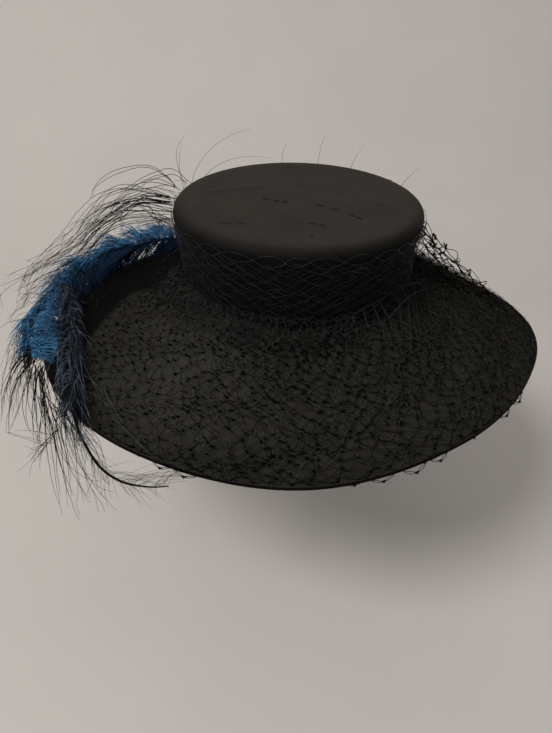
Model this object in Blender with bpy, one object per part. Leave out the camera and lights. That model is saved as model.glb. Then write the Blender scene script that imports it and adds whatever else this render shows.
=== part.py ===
"""Wide-brim hat: a flat-topped crown on a drooping brim, with a net veil and feather plumes.

Metres, +Z up. The origin is the centre of the head opening, at the height of the brim's top there.
The hat's front looks along -Y, and its feathered side is -X. Run it with Blender, in the background
or from the text editor.
"""

import math

import bmesh
import bpy
from mathutils import Vector

# Head opening and the collar that stands up round it, inside the crown
HEAD_WIDTH = 0.176
HEAD_LENGTH = 0.196
COLLAR_WALL = 0.002
COLLAR_HEIGHT = 0.012

# Crown: an oval side wall that flares up to a rolled edge and a flat, slightly dished tip
CROWN_HEIGHT = 0.064
CROWN_WALL = 0.0025
TIP_FLARE = 0.010
TIP_ROLL = 0.008
TIP_DISH = 0.0016

# Brim: how far it reaches from the centre, how far it droops and how thick it is, and the step in
# from the rim that gives its edge a direction
BRIM_HALF_WIDTH = 0.224
BRIM_HALF_LENGTH = 0.210
BRIM_DROOP = 0.056
BRIM_CURL = 1.35
BRIM_WALL = 0.0024
EDGE_WIRE = 0.0042
EDGE_STEP = 0.02

# Net veil: strand thickness, how many meshes go round, the arc of the brim that it covers, and the
# pouf that it makes at the back, on the side away from the feathers
STRAND = 0.0013
CROWN_NET_COLUMNS = 18
BRIM_NET_COLUMNS = 20
BRIM_NET_ARC = (-128, 130)
NET_CLEARANCE = 0.0006
FOLD_HEIGHT = 0.014
POUF_HEIGHT = 0.056
POUF_ANGLE = 36
POUF_SPREAD = 34

# Feathers: quill thickness, lock length, how high a plume rises off the brim, and the black spray
QUILL = 0.0026
BLUE_LOCK = 0.052
DARK_LOCK = 0.042
PLUME_LIFT = 0.018
SPRAY_ANGLE = 152
SPRAY_REACH = 0.150
SPRAY_BARE = 6
SPRAY_WAY = 0.06
SPRAY_GAP = 0.0024
FOOT_SLOPE = 0.12

# The steps of a plume's lock and of a spray's: share of its length, share of its root's width
LOCK_STEPS = ((0.3, 0.80), (0.65, 0.50), (1.0, 0.10))
SPRAY_STEPS = ((0.12, 0.55), (0.3, 0.45), (0.5, 0.38), (0.7, 0.30), (0.86, 0.22), (1.0, 0.10))
# How far a plume's locks spread sideways, sweep along the stem (and how much of that starts at
# once), droop at the tip and arch, as shares of their length
SPREAD = 0.55
EARLY_SWEEP = 0.4
BLUE_SWEEP = 0.95
DARK_SWEEP = 0.9
BLUE_DROOP = 0.8
HANGING_DROOP = 0.9
LOCK_ARCH = 0.8

# Pieces that touch on the real hat keep this gap
SEAT_GAP = 0.0003
ROUND_SEGMENTS = 56
ROLL_STEPS = 4

# The rim, a row every 30 degrees, counter-clockwise from the wearer's left:
# how far it reaches and how far it droops, as shares of the brim's sizes
RIM_ROWS = (
    # angle, reach, droop
    (0, 0.990, 0.95),
    (30, 1.000, 1.07),
    (60, 1.000, 1.07),
    (90, 0.985, 1.03),
    (120, 0.990, 1.00),
    (150, 1.000, 0.95),
    (180, 1.000, 1.02),
    (210, 0.995, 0.90),
    (240, 1.000, 0.90),
    (270, 0.990, 1.00),
    (300, 0.965, 0.82),
    (330, 0.945, 0.80),
)

# The dish of the tip: share of the way out from the centre, share of the dish's depth
TIP_ROWS = (
    # out, depth
    (0.90, 0.10),
    (0.78, 0.70),
    (0.64, 1.00),
)

# The net over the brim, from the crown out: way from the collar to the rim, then the shares of the
# fold's and of the pouf's height that a row of knots is lifted by
BRIM_NET_ROWS = (
    # way, fold, pouf
    (0.100, 0.00, 0.00),
    (0.170, 1.00, 1.00),
    (0.360, 0.15, 0.78),
    (0.570, 0.05, 0.42),
    (0.780, 0.05, 0.12),
    (0.985, 0.05, 0.00),
)
CROWN_NET_ROWS = (0.06, 0.32, 0.58, 0.84)

# A plume's stem over the brim: the angle, the way from the collar to the rim and past it, the share
# of the plume's lift, then its locks outwards and inwards as shares of the lock length
BLUE_ROWS = (
    # angle, way, lift, outer, inner
    (150, 0.17, 0.00, 0.08, 0.06),
    (147, 0.38, 0.50, 0.35, 0.18),
    (145, 0.72, 0.65, 0.60, 0.22),
    (148, 0.90, 0.85, 0.75, 0.24),
    (154, 1.03, 0.80, 0.90, 0.26),
    (162, 1.09, 0.65, 1.00, 0.26),
    (171, 1.10, 0.55, 1.05, 0.26),
    (180, 1.09, 0.45, 1.10, 0.24),
    (189, 1.08, 0.35, 1.10, 0.30),
    (198, 1.06, 0.20, 1.10, 0.60),
)
DARK_ROWS = (
    # angle, way, lift, outer, inner
    (169, 0.97, 0.95, 0.15, 0.15),
    (176, 0.87, 0.70, 0.45, 0.45),
    (186, 0.81, 0.30, 0.55, 0.60),
    (197, 0.80, 0.03, 0.55, 0.65),
    (208, 0.84, 0.00, 0.50, 0.60),
    (218, 0.93, 0.00, 0.60, 0.50),
    (225, 1.03, 0.10, 0.80, 0.35),
)
# The stem's bare end hangs from the rim: steps to the wearer's left, forwards and down, as shares
# of the brim's half width, then its locks
HANGING_ROWS = (
    # left, forward, down, outer, inner
    (0.020, 0.020, 0.075, 1.00, 0.20),
    (0.055, 0.025, 0.180, 0.70, 0.25),
    (0.120, 0.030, 0.245, 0.38, 0.25),
    (0.210, 0.030, 0.270, 0.20, 0.20),
    (0.275, 0.030, 0.265, 0.12, 0.12),
)
# The spray's locks, from the root up: the share of the reach, the rise and then the fall at the tip
# as shares of the reach, and how far the lock turns round the crown in degrees
SPRAY_ROWS = (
    # reach, rise, fall, turn
    (0.50, 0.10, 0.33, 12),
    (0.65, 0.12, 0.40, 4),
    (0.80, 0.13, 0.46, 18),
    (0.92, 0.14, 0.50, 26),
    (1.00, 0.13, 0.52, 34),
    (0.30, 0.06, -0.20, -60),
    (0.40, 0.06, -0.26, -104),
)

# Where the brim's surface has rows of points, as shares of the way from the collar to the rim
BRIM_ROWS = (0.22, 0.45, 0.66, 0.84, 0.98)


def start_empty():
    for item in list(bpy.data.objects):
        bpy.data.objects.remove(item)


def material(name, colour, roughness, metallic=0.0):
    made = bpy.data.materials.new(name)
    made.use_nodes = True
    shader = made.node_tree.nodes["Principled BSDF"]
    shader.inputs["Base Color"].default_value = (*colour, 1.0)
    shader.inputs["Roughness"].default_value = roughness
    shader.inputs["Metallic"].default_value = metallic
    return made


def add_object(name, mesh, finish, sharp_degrees=50):
    mesh.materials.append(finish)
    mesh.shade_smooth()
    mesh.set_sharp_from_angle(angle=math.radians(sharp_degrees))
    made = bpy.data.objects.new(name, mesh)
    bpy.context.scene.collection.objects.link(made)
    return made


def oval(half_width, half_length, angle):
    return Vector((half_width * math.cos(angle), half_length * math.sin(angle), 0))


def turned(column):
    return 2 * math.pi * column / ROUND_SEGMENTS


def table_value(rows, column, degrees):
    """A smooth value between the rows of a table that goes once round, by Catmull-Rom."""
    step = 360 / len(rows)
    place = (degrees % 360) / step
    first = int(place)
    share = place - first
    before, here, after, last = (rows[(first + k) % len(rows)][column] for k in (-1, 0, 1, 2))
    slope_in, slope_out = (after - before) / 2, (last - here) / 2
    bend = 2 * (here - after) + slope_in + slope_out
    return here + share * (slope_in + share * (3 * (after - here) - 2 * slope_in - slope_out + share * bend))


def rim_point(angle):
    degrees = math.degrees(angle)
    reach = table_value(RIM_ROWS, 1, degrees)
    droop = table_value(RIM_ROWS, 2, degrees)
    point = oval(BRIM_HALF_WIDTH * reach, BRIM_HALF_LENGTH * reach, angle)
    point.z = -BRIM_DROOP * droop
    return point


def brim_point(angle, way):
    """A point over the brim's top: way runs from the collar (0) to the rim (1) and past it."""
    inner = oval(HEAD_WIDTH / 2 + COLLAR_WALL, HEAD_LENGTH / 2 + COLLAR_WALL, angle)
    rim = rim_point(angle)
    point = inner.lerp(rim, way)
    point.z = rim.z * way ** BRIM_CURL
    return point


def brim_normal(angle, way):
    step = 0.01
    outward = brim_point(angle, way + step) - brim_point(angle, way)
    around = brim_point(angle + step, way) - brim_point(angle, way)
    return outward.cross(around).normalized()


def crown_half(height):
    """Half the crown's outer width and length at a height on its side wall."""
    share = min(height / (CROWN_HEIGHT - TIP_ROLL), 1)
    out = COLLAR_WALL + SEAT_GAP + CROWN_WALL + TIP_FLARE * share
    return HEAD_WIDTH / 2 + out, HEAD_LENGTH / 2 + out


def skin(name, rings, caps):
    """One closed mesh from rings of points. With caps the end rings are filled, otherwise the
    last ring joins the first."""
    mesh = bpy.data.meshes.new(name)
    shape = bmesh.new()
    rows = [[shape.verts.new(point) for point in ring] for ring in rings]
    count = len(rings[0])
    pairs = list(zip(rows, rows[1:]))
    if not caps:
        pairs.append((rows[-1], rows[0]))
    for low, high in pairs:
        for k in range(count):
            nxt = (k + 1) % count
            shape.faces.new((low[k], low[nxt], high[nxt], high[k]))
    if caps:
        shape.faces.new(rows[0])
        shape.faces.new(rows[-1])
    bmesh.ops.recalc_face_normals(shape, faces=shape.faces)
    shape.to_mesh(mesh)
    shape.free()
    return mesh


def crown_profile(wall_inset):
    """(inset from the tip's outer oval, height) up the side and round the roll, for the outer
    surface or for the one that lies wall_inset inside it."""
    roll = TIP_ROLL - wall_inset
    top = CROWN_HEIGHT - wall_inset
    side = CROWN_HEIGHT - TIP_ROLL
    points = [(TIP_FLARE + wall_inset, SEAT_GAP), (TIP_FLARE / 2 + wall_inset, side / 2)]
    for step in range(ROLL_STEPS + 1):
        turn = math.pi / 2 * step / ROLL_STEPS
        points.append((TIP_ROLL - roll * math.cos(turn), top - roll + roll * math.sin(turn)))
    return points, top


def crown_rings(wall_inset):
    half_width, half_length = crown_half(CROWN_HEIGHT)
    profile, top = crown_profile(wall_inset)
    rings = []
    for inset, height in profile:
        ring = [oval(half_width - inset, half_length - inset, turned(k)) for k in range(ROUND_SEGMENTS)]
        rings.append([Vector((p.x, p.y, height)) for p in ring])
    for out, depth in TIP_ROWS:
        level = top - TIP_DISH * depth
        wide, long = (half_width - TIP_ROLL) * out, (half_length - TIP_ROLL) * out
        ring = [oval(wide, long, turned(k)) for k in range(ROUND_SEGMENTS)]
        rings.append([Vector((p.x, p.y, level)) for p in ring])
    return rings


def make_crown(finish):
    inner = crown_rings(CROWN_WALL)
    outer = crown_rings(0.0)
    mesh = skin("crown", inner[::-1] + outer, caps=True)
    return add_object("crown", mesh, finish)


def brim_section(angle):
    """The brim's cross-section at an angle, as a loop: collar, top, wired edge, underside."""
    inside = oval(HEAD_WIDTH / 2, HEAD_LENGTH / 2, angle)
    collar = brim_point(angle, 0)
    up = Vector((0, 0, 1))
    loop = [inside - up * BRIM_WALL, inside + up * COLLAR_HEIGHT, collar + up * COLLAR_HEIGHT, collar]
    loop += [brim_point(angle, way) for way in BRIM_ROWS]
    rim = rim_point(angle)
    normal = brim_normal(angle, 1.0)
    outward = (rim - brim_point(angle, 1 - EDGE_STEP)).normalized()
    centre = rim - normal * BRIM_WALL / 2
    for degrees in (110, 60, 0, -60, -110):
        turn = math.radians(degrees)
        loop.append(centre + (outward * math.cos(turn) + normal * math.sin(turn)) * EDGE_WIRE / 2)
    for way in reversed(BRIM_ROWS):
        loop.append(brim_point(angle, way) - brim_normal(angle, way) * BRIM_WALL)
    return loop


def make_brim(finish):
    sections = [brim_section(turned(k)) for k in range(ROUND_SEGMENTS)]
    rings = [list(ring) for ring in zip(*sections)]
    return add_object("brim", skin("brim", rings, caps=False), finish)


def net(name, rows, closed, finish):
    """A diamond net from rows of knots, the odd rows half a mesh on. Every diamond is a face, and
    the Wireframe modifier leaves a strand round each."""
    mesh = bpy.data.meshes.new(name)
    shape = bmesh.new()
    knots = [[shape.verts.new(point) for point in row] for row in rows]
    for r in range(1, len(rows) - 1):
        row = knots[r]
        for k in range(len(row) if closed else len(row) - 1):
            across = (k + r % 2) % len(knots[r - 1])
            beside = (k + 1) % len(row)
            shape.faces.new((row[k], knots[r - 1][across], row[beside], knots[r + 1][across]))
    bmesh.ops.delete(shape, geom=[v for v in shape.verts if not v.link_faces], context="VERTS")
    bmesh.ops.recalc_face_normals(shape, faces=shape.faces)
    shape.to_mesh(mesh)
    shape.free()
    made = add_object(name, mesh, finish)
    strands = made.modifiers.new("strands", "WIREFRAME")
    strands.thickness = STRAND
    strands.use_even_offset = False
    strands.use_boundary = True
    strands.use_replace = True
    return made


def make_crown_net(finish):
    off = STRAND / 2 + NET_CLEARANCE
    rows = []
    for r, share in enumerate(CROWN_NET_ROWS):
        height = CROWN_HEIGHT * share
        half_width, half_length = crown_half(height)
        row = []
        for k in range(CROWN_NET_COLUMNS):
            angle = 2 * math.pi * (k + (r % 2) / 2) / CROWN_NET_COLUMNS
            point = oval(half_width + off, half_length + off, angle)
            point.z = height
            row.append(point)
        rows.append(row)
    return net("veil_crown", rows, True, finish)


def pouf(degrees):
    """How much of the pouf's height the net has at an angle: a smooth bump."""
    away = abs((degrees - POUF_ANGLE + 180) % 360 - 180) / POUF_SPREAD
    return math.cos(math.pi / 2 * away) ** 2 if away < 1 else 0.0


def make_brim_net(finish):
    first, last = BRIM_NET_ARC
    step = (last - first) / BRIM_NET_COLUMNS
    base = STRAND / 2 + NET_CLEARANCE
    rows = []
    for r, (way, fold, rise) in enumerate(BRIM_NET_ROWS):
        row = []
        for k in range(BRIM_NET_COLUMNS + 1 - r % 2):
            degrees = first + step * (k + (r % 2) / 2)
            angle = math.radians(degrees)
            lift = base + FOLD_HEIGHT * fold
            lift = max(lift, base + POUF_HEIGHT * rise * pouf(degrees))
            row.append(brim_point(angle, way) + brim_normal(angle, way) * lift)
        rows.append(row)
    return net("veil_brim", rows, False, finish)


def plume(name, stem, outer, inner, finish):
    """A square quill along the stem's (point, up) pairs, with a lock drawn out of both sides of each
    segment. outer and inner give each lock's steps, or None."""
    mesh = bpy.data.meshes.new(name)
    shape = bmesh.new()
    corners = ((1, 1), (1, -1), (-1, -1), (-1, 1))
    rings = []
    for k, (point, up) in enumerate(stem):
        ahead = stem[min(k + 1, len(stem) - 1)][0] - stem[max(k - 1, 0)][0]
        side = ahead.cross(up).normalized()
        square = side.cross(ahead).normalized()
        rings.append([shape.verts.new(point + (side * a + square * b) * QUILL / 2) for a, b in corners])
    shape.faces.new(rings[0])
    shape.faces.new(rings[-1])
    for k, (low, high) in enumerate(zip(rings, rings[1:])):
        for a, b in ((1, 2), (3, 0)):
            shape.faces.new((low[a], low[b], high[b], high[a]))
        draw_lock(shape, (low[0], low[1], high[1], high[0]), outer[k])
        draw_lock(shape, (low[2], low[3], high[3], high[2]), inner[k])
    bmesh.ops.recalc_face_normals(shape, faces=shape.faces)
    shape.to_mesh(mesh)
    shape.free()
    return add_object(name, mesh, finish)


def draw_lock(shape, root, offsets):
    """Draws a strip out of the four corners of a quill's side, tapering to its tip."""
    if offsets is None:
        shape.faces.new(root)
        return
    middle = sum((v.co for v in root), Vector()) / 4
    spread = [v.co - middle for v in root]
    last = list(root)
    for offset, width in offsets:
        ring = [shape.verts.new(middle + offset + away * width) for away in spread]
        for k in range(4):
            nxt = (k + 1) % 4
            shape.faces.new((last[k], last[nxt], ring[nxt], ring[k]))
        last = ring
    shape.faces.new(last)


def swept_lock(length, out, ahead, sweep, droop):
    """A lock that arches off the quill sideways, sweeps towards the plume's tip and droops."""
    steps = []
    for share, width in LOCK_STEPS:
        offset = out * share + ahead * sweep * share * (EARLY_SWEEP + (1 - EARLY_SWEEP) * share)
        offset.z += LOCK_ARCH * share * (1 - share) - droop * share * share
        steps.append((offset * length, width))
    return steps


def over_brim(degrees, way, lift):
    """A point of a stem over the brim, and the way up from the brim there."""
    angle = math.radians(degrees)
    up = brim_normal(angle, way)
    return brim_point(angle, way) + up * (QUILL / 2 + SEAT_GAP + lift), up


def smooth_rows(rows, per_row):
    """Rows between a table's rows, by Catmull-Rom, to draw a smooth stem from a short table."""
    made = []
    last = len(rows) - 1
    for k in range(last):
        near = [rows[max(k - 1, 0)], rows[k], rows[k + 1], rows[min(k + 2, last)]]
        for step in range(per_row):
            t = step / per_row
            values = []
            for a, b, c, d in zip(*near):
                curve = 2 * a - 5 * b + 4 * c - d
                bend = 3 * (b - c) + d - a
                values.append(b + t * ((c - a) + t * (curve + t * bend)) / 2)
            made.append(tuple(values))
    made.append(rows[last])
    return made


def upright(stem, outward, locks, finish):
    """The spray: a quill that stands by the crown, with one lock drawn out of each segment."""
    mesh = bpy.data.meshes.new("black_spray")
    shape = bmesh.new()
    side = outward.cross(Vector((0, 0, 1)))
    corners = ((1, 1), (1, -1), (-1, -1), (-1, 1))
    rings = []
    for point in stem:
        ring = [shape.verts.new(point + (outward * a + side * b) * QUILL / 2) for a, b in corners]
        rings.append(ring)
    shape.faces.new(rings[0])
    shape.faces.new(rings[-1])
    for k, (low, high) in enumerate(zip(rings, rings[1:])):
        for a, b in ((1, 2), (2, 3), (3, 0)):
            shape.faces.new((low[a], low[b], high[b], high[a]))
        draw_lock(shape, (low[0], low[1], high[1], high[0]), locks[k])
    bmesh.ops.recalc_face_normals(shape, faces=shape.faces)
    shape.to_mesh(mesh)
    shape.free()
    return add_object("black_spray", mesh, finish)


def make_plume(name, stem, lengths, lock, sweep, droops, finish):
    outer, inner = [], []
    for k in range(len(stem) - 1):
        ahead = (stem[k + 1][0] - stem[k][0]).normalized()
        side = ahead.cross(stem[k][1]).normalized()
        out_share, in_share = lengths[k]
        outer.append(swept_lock(lock * out_share, side * SPREAD, ahead, sweep, droops[k]))
        inner.append(swept_lock(lock * in_share, side * -SPREAD, ahead, sweep, 0.0))
    return plume(name, stem, outer, inner, finish)


def make_blue_plume(finish):
    rows = smooth_rows(BLUE_ROWS, 2)
    stem = [over_brim(degrees, way, lift * PLUME_LIFT) for degrees, way, lift, _, _ in rows]
    droops = [BLUE_DROOP * (k / len(rows)) ** 2 for k in range(len(rows))]
    lengths = [row[3:] for row in rows]
    return make_plume("blue_plume", stem, lengths, BLUE_LOCK, BLUE_SWEEP, droops, finish)


def make_dark_plume(finish):
    rows = smooth_rows(DARK_ROWS, 2)
    stem = [over_brim(degrees, way, lift * PLUME_LIFT) for degrees, way, lift, _, _ in rows]
    droops = [0.0] * len(rows)
    edge, up = stem[-1]
    hanging = smooth_rows(((0, 0, 0, *DARK_ROWS[-1][3:]), *HANGING_ROWS), 3)
    for left, forward, down, out_share, in_share in hanging[1:]:
        stem.append((edge + Vector((left, -forward, -down)) * BRIM_HALF_WIDTH, up))
        rows.append((0, 0, 0, out_share, in_share))
        droops.append(HANGING_DROOP)
    lengths = [row[3:] for row in rows]
    return make_plume("dark_plume", stem, lengths, DARK_LOCK, DARK_SWEEP, droops, finish)


def make_spray(finish):
    """Black wisps that rise beside the crown, arch over and fall outside the brim."""
    angle = math.radians(SPRAY_ANGLE)
    clear = QUILL / 2 + STRAND + SPRAY_GAP
    foot = brim_point(angle, SPRAY_WAY).z + SEAT_GAP + QUILL * FOOT_SLOPE
    top = CROWN_HEIGHT + QUILL
    stem = []
    count = len(SPRAY_ROWS) + SPRAY_BARE
    for k in range(count + 1):
        height = foot + (top - foot) * k / count
        half_width, half_length = crown_half(height)
        point = oval(half_width + clear, half_length + clear, angle)
        point.z = height
        stem.append(point)
    outward = Vector((math.cos(angle), math.sin(angle), 0))
    locks = [None] * SPRAY_BARE
    for reach, rise, fall, turn in SPRAY_ROWS:
        turned_out = Vector((math.cos(angle + math.radians(turn)), math.sin(angle + math.radians(turn)), 0))
        steps = []
        for share, width in SPRAY_STEPS:
            height = 4 * rise * share * (1 - share) - fall * share * share
            steps.append(((turned_out * reach * share + Vector((0, 0, height))) * SPRAY_REACH, width))
        locks.append(steps)
    return upright(stem, outward, locks, finish)


def main():
    start_empty()
    cloth = material("black silk", (0.018, 0.017, 0.016), 0.55)
    netting = material("black net", (0.012, 0.012, 0.014), 0.6)
    make_crown(cloth)
    make_brim(cloth)
    make_crown_net(netting)
    make_brim_net(netting)
    make_blue_plume(material("blue feather", (0.020, 0.090, 0.190), 0.7))
    make_dark_plume(material("dark feather", (0.018, 0.030, 0.050), 0.7))
    make_spray(material("black feather", (0.008, 0.008, 0.010), 0.6))


main()
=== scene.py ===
"""Looks for the wide-brim hat: silk over the crown and brim, net veils, plumes and arching wisps."""
import math

import bpy
import numpy as np
from mathutils import Matrix
from numpy.random import default_rng


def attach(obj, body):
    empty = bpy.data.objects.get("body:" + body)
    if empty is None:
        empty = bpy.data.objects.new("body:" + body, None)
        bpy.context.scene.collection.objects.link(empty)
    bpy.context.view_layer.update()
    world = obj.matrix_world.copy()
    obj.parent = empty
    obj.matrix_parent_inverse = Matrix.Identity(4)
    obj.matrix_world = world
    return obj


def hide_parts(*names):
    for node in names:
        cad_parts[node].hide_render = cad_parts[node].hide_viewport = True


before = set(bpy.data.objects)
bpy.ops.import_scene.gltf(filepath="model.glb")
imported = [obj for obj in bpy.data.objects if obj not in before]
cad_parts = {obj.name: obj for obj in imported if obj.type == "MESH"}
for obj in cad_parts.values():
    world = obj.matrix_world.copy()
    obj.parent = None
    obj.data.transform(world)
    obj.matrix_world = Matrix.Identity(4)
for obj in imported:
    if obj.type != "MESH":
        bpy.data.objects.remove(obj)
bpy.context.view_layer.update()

# Sizes that the solids have, in metres
HEAD_WIDTH, HEAD_LENGTH = 0.176, 0.196
COLLAR_WALL, COLLAR_HEIGHT = 0.002, 0.012
CROWN_HEIGHT, CROWN_WALL, TIP_FLARE, TIP_ROLL, TIP_DISH = 0.064, 0.0025, 0.01, 0.008, 0.0016
BRIM_HALF_WIDTH, BRIM_HALF_LENGTH, BRIM_DROOP, BRIM_CURL = 0.224, 0.21, 0.056, 1.35
BRIM_WALL, EDGE_WIRE, SEAT_GAP = 0.0024, 0.0042, 0.0003
PLUME_LIFT, QUILL = 0.018, 0.0026
POUF_ANGLE, POUF_SPREAD, POUF_HEIGHT = 36, 34, 0.056
# the tip's two soft creases, each from one x, y to another, and their height and half width
TIP_CREASES = ((-0.088, 0.01, -0.02, 0.04), (0.036, 0.034, 0.088, -0.036))
CREASE_HEIGHT, CREASE_WIDTH = 0.001, 0.0055

# reach and droop of the rim every 30 degrees, counter-clockwise from the wearer's left
RIM_REACH = (0.99, 1.0, 1.0, 0.985, 0.99, 1.0, 1.0, 0.995, 1.0, 0.99, 0.965, 0.945)
RIM_DROOP = (0.95, 1.07, 1.07, 1.03, 1.0, 0.95, 1.02, 0.9, 0.9, 1.0, 0.82, 0.8)

# the photo's camera, as fitted to the crown's tip and the rim: angles down, to the right and of roll
CAMERA_LENS, CAMERA_ANGLES, CAMERA_PLACE = 27.16, (34.86, 1.35, 0.94), (-0.0268, -0.4545, 0.21)
# the floor's height, the backdrop's distance, the radius of the curve between them and half the width
FLOOR, BACKDROP, FLOOR_CURVE, FLOOR_HALF = -0.32, 1.5, 0.9, 5.0

# radii of net strands, and half lengths and radii of the nets' knots
NET_STRAND, FOLD_STRAND, POUF_STRAND = 0.00015, 0.0002, 0.00046
NET_KNOT, FOLD_KNOT, POUF_KNOT = (0.0013, 0.00088), (0.0009, 0.0005), (0.0021, 0.00155)
CROWN_KNOT = (0.0008, 0.00034)
# radii of plume hairs, and of a bundle's wisps at root and tip
HAIR_RADIUS, WISP_RADIUS, WISP_TIP = 0.00011, 0.0013, 0.0001
# the height below which a wisp levels out, and how much farther down it then comes at most
WISP_LEVEL, WISP_DROP = -0.145, 0.018
# where the brim's nets end at the back, in degrees, and into how many locks the blue barbs gather
NET_END, LOCKS = 134.0, 40

# a plume's stem over the brim: angle, way from the collar to the rim, share of the plume's lift
BLUE_ROWS = (
    (150, 0.17, 0.0), (147, 0.38, 0.5), (145, 0.72, 0.65), (148, 0.9, 0.85), (154, 1.03, 0.8),
    (162, 1.09, 0.65), (171, 1.1, 0.55), (180, 1.09, 0.45), (189, 1.08, 0.35), (198, 1.06, 0.2),
)
DARK_ROWS = (
    (169, 0.97, 0.95), (176, 0.87, 0.7), (186, 0.81, 0.3), (197, 0.8, 0.03), (208, 0.84, 0.0),
    (218, 0.93, 0.0), (225, 1.03, 0.1),
)
# the bare end of the dark stem below the rim: left, forward, down as shares of the half width
HANGING_ROWS = (
    (0.0, 0.0, 0.0), (0.02, 0.02, 0.075), (0.055, 0.025, 0.18), (0.12, 0.03, 0.245),
    (0.21, 0.03, 0.27), (0.275, 0.03, 0.265),
)

# bundles of wisps: how many, their radius at the root (1 is WISP_RADIUS), their spread in mm, 1 where
# they are fluffy, and the points that the bundle follows, in mm. These arch over the blue plume.
SPRAY_WISPS = (
    (9, 0.36, 5, 1, ((-115, 55, 41), (-142, 49, 44), (-158, 44, 39), (-168, 38, 34), (-184, 33, 26),
        (-193, 27, 17), (-204, 21, 5), (-236, 16, -10), (-265, 10, -22))),
    (6, 0.26, 5, 0, ((-104, 55, 55), (-118, 47, 68), (-137, 39, 66), (-158, 30, 57), (-169, 22, 48),
        (-171, 14, 43))),
    (6, 0.24, 5, 0, ((-109, 55, 49), (-128, 48, 58), (-148, 41, 57), (-168, 34, 51), (-175, 28, 42),
        (-185, 21, 34), (-186, 14, 27))),
    (6, 0.24, 5, 0, ((-110, 55, 15), (-132, 48, 30), (-153, 42, 32), (-166, 36, 32), (-184, 29, 24),
        (-190, 23, 16), (-194, 16, 7))),
    (9, 0.26, 6, 1, ((-115, 55, 28), (-143, 49, 33), (-170, 42, 30), (-186, 36, 19), (-202, 29, 7),
        (-226, 23, -6), (-252, 16, -23), (-262, 10, -34))),
    (7, 0.24, 7, 0, ((-114, 55, 38), (-151, 49, 46), (-173, 42, 39), (-191, 36, 22), (-210, 29, 0),
        (-234, 23, -20), (-252, 16, -40), (-261, 10, -56))),
    (4, 0.28, 4, 0, ((-115, 55, 40), (-137, 48, 45), (-142, 41, 45), (-131, 34, 37), (-122, 27, 28),
        (-116, 20, 23))),
)

# and these fall from the blue plume's end and from the rim
HANGING_WISPS = (
    (9, 0.28, 3, 0, ((-223, -62, -49), (-231, -64, -56), (-242, -67, -71), (-252, -70, -91),
        (-257, -72, -109))),
    (8, 0.28, 3, 0, ((-221, -64, -54), (-228, -66, -61), (-239, -68, -74), (-248, -70, -92),
        (-255, -72, -110), (-260, -74, -128))),
    (3, 0.2, 3, 0, ((-221, -60, -49), (-232, -62, -49), (-246, -65, -68), (-256, -68, -97),
        (-262, -70, -118))),
    (12, 0.38, 3, 0, ((-209, -80, -51), (-213, -83, -68), (-215, -86, -87), (-216, -89, -107),
        (-215, -92, -122))),
    (9, 0.36, 6, 0, ((-207, -88, -64), (-203, -97, -73), (-197, -105, -87), (-194, -114, -101),
        (-193, -123, -121), (-192, -131, -142), (-189, -140, -159))),
    (9, 0.34, 4, 0, ((-216, -76, -58), (-221, -80, -76), (-226, -83, -95), (-230, -87, -117),
        (-229, -90, -135))),
    (8, 0.32, 4, 0, ((-197, -96, -74), (-195, -100, -86), (-189, -104, -97), (-181, -108, -105),
        (-172, -112, -103))),
    (7, 0.22, 7, 0, ((-201, -92, -99), (-199, -102, -112), (-194, -112, -133), (-184, -122, -152),
        (-172, -132, -165), (-162, -142, -159))),
    (9, 0.2, 6, 0, ((-197, -96, -93), (-186, -104, -106), (-177, -113, -114), (-172, -121, -129),
        (-172, -130, -144), (-166, -138, -150))),
    (2, 0.4, 1, 1, ((-205, -92, -110), (-212, -97, -119), (-219, -103, -126), (-227, -108, -132))),
    (3, 0.2, 4, 0, ((-206, -90, -119), (-216, -93, -128), (-225, -95, -126), (-237, -98, -117),
        (-244, -100, -107))),
)


# ---- camera, light and floor

def stand(thing, side, top, ahead, place):
    """Adds a camera or light at a place, looking ahead, with side to its right and top above."""
    bpy.context.scene.collection.objects.link(thing)
    turn = np.eye(4)
    turn[:3, 0], turn[:3, 1], turn[:3, 2], turn[:3, 3] = side, top, -ahead, place
    thing.matrix_world = Matrix(turn.tolist())
    return thing


def make_camera():
    pitch, yaw, roll = np.radians(CAMERA_ANGLES)
    ahead = np.array((math.sin(yaw) * math.cos(pitch), math.cos(yaw) * math.cos(pitch), -math.sin(pitch)))
    level = np.array((math.cos(yaw), -math.sin(yaw), 0.0))
    up = np.cross(level, ahead)
    side = math.cos(roll) * level + math.sin(roll) * up
    top = -math.sin(roll) * level + math.cos(roll) * up
    data = bpy.data.cameras.new("camera")
    data.sensor_width, data.lens, data.clip_start = 36, CAMERA_LENS, 0.01
    bpy.context.scene.camera = stand(bpy.data.objects.new("camera", data), side, top, ahead, CAMERA_PLACE)


def area_light(name, place, target, size, power, colour):
    data = bpy.data.lights.new(name, "AREA")
    data.shape, data.size, data.energy, data.color = "DISK", size, power, colour
    ahead = unit(np.subtract(target, place).astype(float))
    side = unit(np.cross(ahead, (0, 0, 1)))
    stand(bpy.data.objects.new(name, data), side, np.cross(side, ahead), ahead, place)


def make_light():
    """Soft light: a pale world, a warm key from the upper left and a weak cool fill."""
    world = bpy.data.worlds.new("world")
    world.use_nodes = True
    background = world.node_tree.nodes["Background"]
    background.inputs["Color"].default_value = (1.0, 0.98, 0.96, 1)
    background.inputs["Strength"].default_value = 0.3
    bpy.context.scene.world = world
    bpy.context.scene.view_settings.view_transform = "Standard"
    area_light("key", (-1.35, -1.25, 2.15), (0, 0.1, 0), 1.0, 44, (1.0, 0.97, 0.93))
    area_light("fill", (1.6, -1.2, 0.9), (0, 0, 0), 1.4, 3, (0.95, 0.97, 1.0))


# ---- materials

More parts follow.
